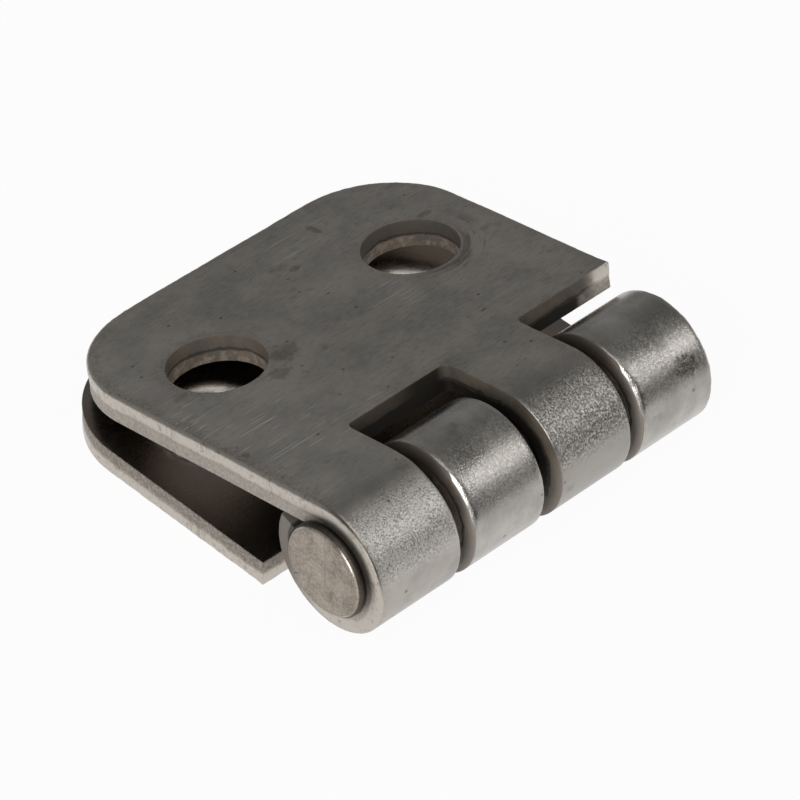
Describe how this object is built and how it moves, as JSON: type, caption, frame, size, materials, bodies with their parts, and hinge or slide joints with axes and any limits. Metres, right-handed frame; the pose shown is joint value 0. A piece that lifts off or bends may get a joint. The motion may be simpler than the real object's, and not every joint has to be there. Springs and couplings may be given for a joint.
{
  "type": "butt hinge",
  "caption": "Small steel butt hinge, folded shut: two stamped leaves with rolled knuckles and rounded corners on a riveted pin, with plain screw holes.",
  "frame": {"origin": "the middle of the lower leaf's two screw holes, on the outer face that is screwed down", "axes": "X along the pin, +Y from the knuckles to the outer edge of the leaves, +Z out of the surface that the lower leaf is screwed to"},
  "size_m": [0.0308, 0.0308, 0.0091],
  "materials": {
    "leaf_steel": "bare, brushed along the pin on the flat faces and grainy round the bends",
    "pin_steel": "bare, dull, hammered at the riveted heads"
  },
  "bodies": {
    "fixed_side": {"lower_leaf": "leaf_steel", "hinge_pin": "pin_steel"},
    "swing_side": {"upper_leaf": "leaf_steel"}
  },
  "joints": [
    {"name": "leaf_swing", "type": "hinge", "parent": "fixed_side", "child": "swing_side", "pos_m": [0, -0.0165, 0.00455], "axis": [1, 0, 0], "range_deg": [-1, 280]}
  ]
}
